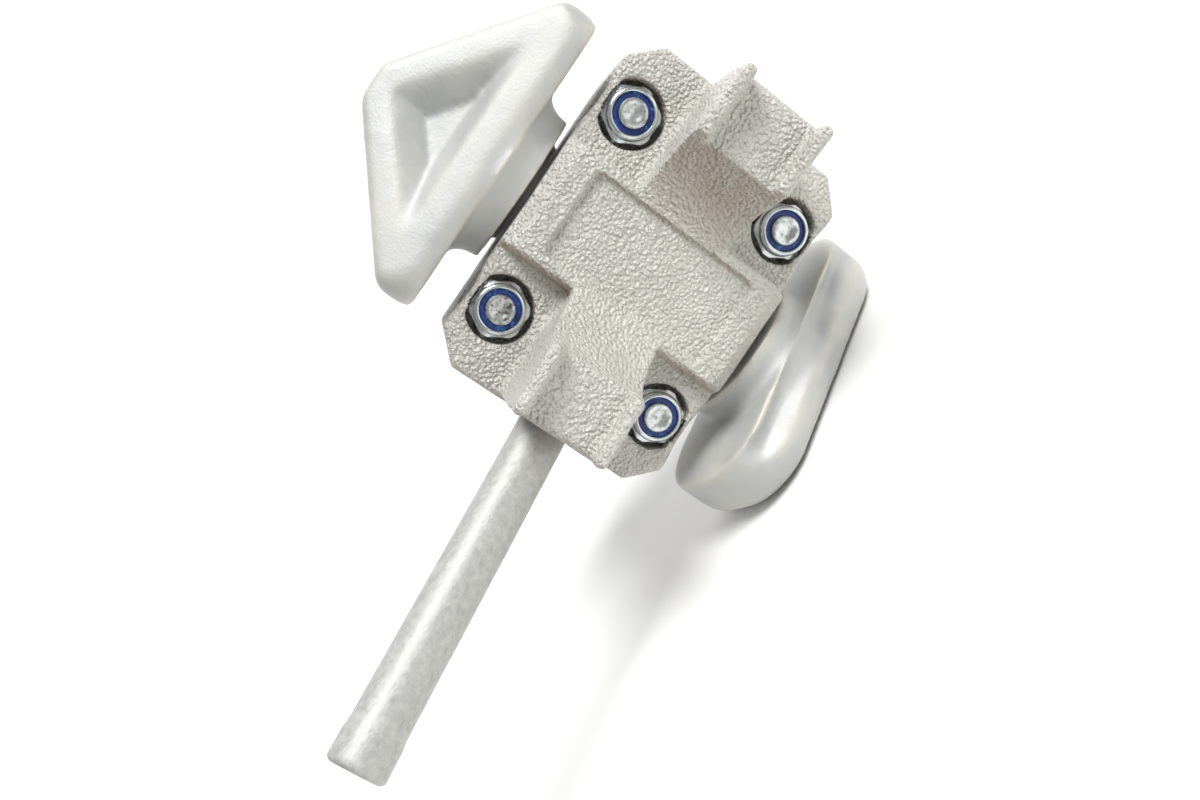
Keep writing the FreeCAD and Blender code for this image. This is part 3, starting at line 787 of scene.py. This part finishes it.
class TWISTLOCK_OT_inner_parts(bpy.types.Operator):
    """Finish the pins, the plunger and its spring inside the housing."""
    bl_idname = "twistlock.inner_parts"
    bl_label = "Inner parts"

    def execute(self, context):
        material = hardened_steel()
        for name in ("lever_pin", "detent_plunger", "detent_spring", "dowel_pin_1", "dowel_pin_2"):
            mesh = frame["nodes"][name].data
            mesh.materials.clear()
            mesh.materials.append(material)
        return {"FINISHED"}


def lay_floor(scene):
    """A round board just under the lowest point of the twistlock."""
    builder = bmesh.new()
    bmesh.ops.create_circle(builder, cap_ends=True, segments=96, radius=0.75)
    mesh = bpy.data.meshes.new("floor")
    builder.to_mesh(mesh)
    builder.free()
    floor = bpy.data.objects.new("floor", mesh)
    floor.location = (0, 0, cad_low.z - mm(0.05))
    mesh.materials.append(pale_floor())
    scene.collection.objects.link(floor)


def place_camera(scene, s):
    """A camera at the chosen place, turned about its line of sight; gives back the camera."""
    camera = bpy.data.objects.new("camera", bpy.data.cameras.new("camera"))
    place = Vector(s.camera_place)
    sight = (Vector(s.camera_aim) - place).normalized()
    camera.location = place
    camera.rotation_mode = "QUATERNION"
    camera.rotation_quaternion = sight.to_track_quat("-Z", "Y") @ Quaternion((0, 0, 1), s.camera_roll)
    camera.data.lens = s.focal_length
    camera.data.sensor_width = 36.0
    camera.data.clip_start = 0.01
    scene.collection.objects.link(camera)
    scene.camera = camera
    return camera


def hang_light(scene, name, offset, spread, power):
    """A broad, distant light that shines from an offset towards the origin."""
    data = bpy.data.lights.new(name, "SUN")
    data.angle = math.radians(spread)
    data.energy = power
    lamp = bpy.data.objects.new(name, data)
    lamp.location = offset
    lamp.rotation_mode = "QUATERNION"
    lamp.rotation_quaternion = (-offset).to_track_quat("-Z", "Y")
    scene.collection.objects.link(lamp)


def paint_room(scene, s):
    """A white backdrop behind the object, and a dimmer room in front of it."""
    world = bpy.data.worlds.new("studio")
    scene.world = world
    world.use_nodes = True
    tree = world.node_tree
    tree.nodes.clear()
    way = add_node(tree, "ShaderNodeTexCoord").outputs["Generated"]
    depth = add_node(tree, "ShaderNodeSeparateXYZ", {"Vector": way}).outputs["Y"]
    share = add_node(tree, "ShaderNodeMapRange", {"Value": depth, "From Min": -1.0}).outputs[0]
    level = ramp(tree, share, [(0.55, s.room), (0.80, 1.0)])
    sky = add_node(tree, "ShaderNodeBackground", {"Color": level, "Strength": 1.12})
    output = add_node(tree, "ShaderNodeOutputWorld")
    tree.links.new(sky.outputs[0], output.inputs["Surface"])


class TWISTLOCK_OT_stage(bpy.types.Operator):
    """Set up the pale floor, the soft light and the camera."""
    bl_idname = "twistlock.stage"
    bl_label = "Stage"

    def execute(self, context):
        scene = context.scene
        s = scene.twistlock_stage
        lay_floor(scene)
        turn = place_camera(scene, s).rotation_quaternion
        up, left, back = turn @ Vector((0, 1, 0)), turn @ Vector((-1, 0, 0)), turn @ Vector((0, 0, 1))
        hang_light(scene, "key", up * 0.75 + left * 0.35 + back * 0.65, 26.0, s.key)
        hang_light(scene, "rear", Vector((0.5, 0.9, 0.7)), 40.0, s.rear)
        paint_room(scene, s)
        scene.view_settings.view_transform = "Standard"
        return {"FINISHED"}


class TWISTLOCK_PT_panel(bpy.types.Panel):
    """Lists the steps that build the twistlock."""
    bl_idname = "TWISTLOCK_PT_panel"
    bl_label = "Twistlock"
    bl_space_type = "VIEW_3D"
    bl_region_type = "UI"
    bl_category = "Twistlock"

    def draw(self, context):
        layout = self.layout
        for operator in OPERATORS:
            layout.operator(operator.bl_idname)
        for name in SETTINGS:
            box = layout.box()
            group = getattr(context.scene, name)
            for key in group.__annotations__:
                box.prop(group, key)


OPERATORS = (TWISTLOCK_OT_castings, TWISTLOCK_OT_spindle, TWISTLOCK_OT_lever, TWISTLOCK_OT_lock_nuts,
             TWISTLOCK_OT_nut_inserts, TWISTLOCK_OT_bolts, TWISTLOCK_OT_inner_parts, TWISTLOCK_OT_stage)
SETTINGS = {"twistlock_castings": TwistlockCastings, "twistlock_spindle": TwistlockSpindle,
            "twistlock_lever": TwistlockLever, "twistlock_fasteners": TwistlockFasteners,
            "twistlock_stage": TwistlockStage}


def register():
    for name, group in SETTINGS.items():
        bpy.utils.register_class(group)
        setattr(bpy.types.Scene, name, bpy.props.PointerProperty(type=group))
    for operator in OPERATORS:
        bpy.utils.register_class(operator)
    bpy.utils.register_class(TWISTLOCK_PT_panel)


def unregister():
    bpy.utils.unregister_class(TWISTLOCK_PT_panel)
    for operator in reversed(OPERATORS):
        bpy.utils.unregister_class(operator)
    for name, group in reversed(list(SETTINGS.items())):
        delattr(bpy.types.Scene, name)
        bpy.utils.unregister_class(group)


def main():
    register()
    bpy.ops.twistlock.castings()
    bpy.ops.twistlock.spindle()
    bpy.ops.twistlock.lever()
    bpy.ops.twistlock.lock_nuts()
    bpy.ops.twistlock.nut_inserts()
    bpy.ops.twistlock.bolts()
    bpy.ops.twistlock.inner_parts()
    bpy.ops.twistlock.stage()


if __name__ == "__main__":
    main()
